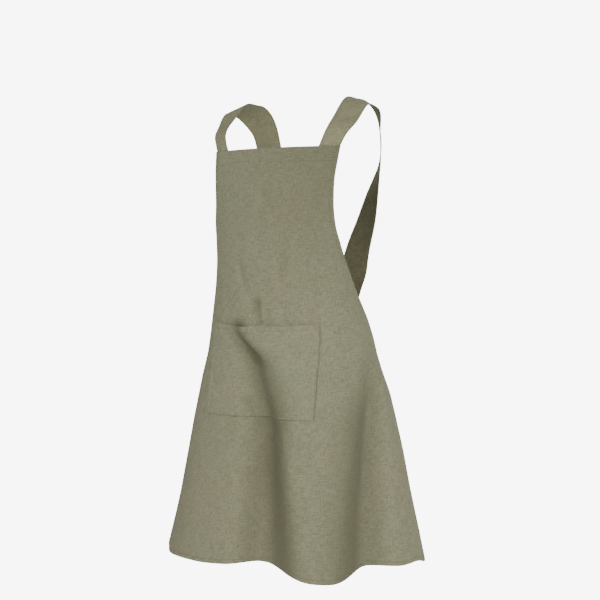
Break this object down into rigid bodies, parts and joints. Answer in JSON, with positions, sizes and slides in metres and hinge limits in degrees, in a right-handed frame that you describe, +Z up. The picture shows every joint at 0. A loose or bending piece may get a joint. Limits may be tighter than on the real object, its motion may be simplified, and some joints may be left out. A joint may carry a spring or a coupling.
{
  "type": "cross back apron",
  "caption": "Linen pinafore apron with a straight bib, a flared wrap-round skirt, a wide patch pocket and straps that cross on the back.",
  "frame": {"origin": "midway between the tops of the two straps, where the apron hangs on the shoulders", "axes": "+Z up, -Y the way that the wearer faces, +X the wearer's left"},
  "size_m": [0.5454, 0.3969, 0.893],
  "materials": {
    "body_linen": "plain-woven washed linen, khaki olive, matt",
    "pocket_linen": "the same linen, matt",
    "strap_linen": "the same linen, two layers, matt"
  },
  "bodies": {
    "root": {"apron_body": "body_linen", "bib_facing": "body_linen", "strap_left": "strap_linen", "strap_right": "strap_linen", "pocket": "pocket_linen"}
  },
  "joints": []
}
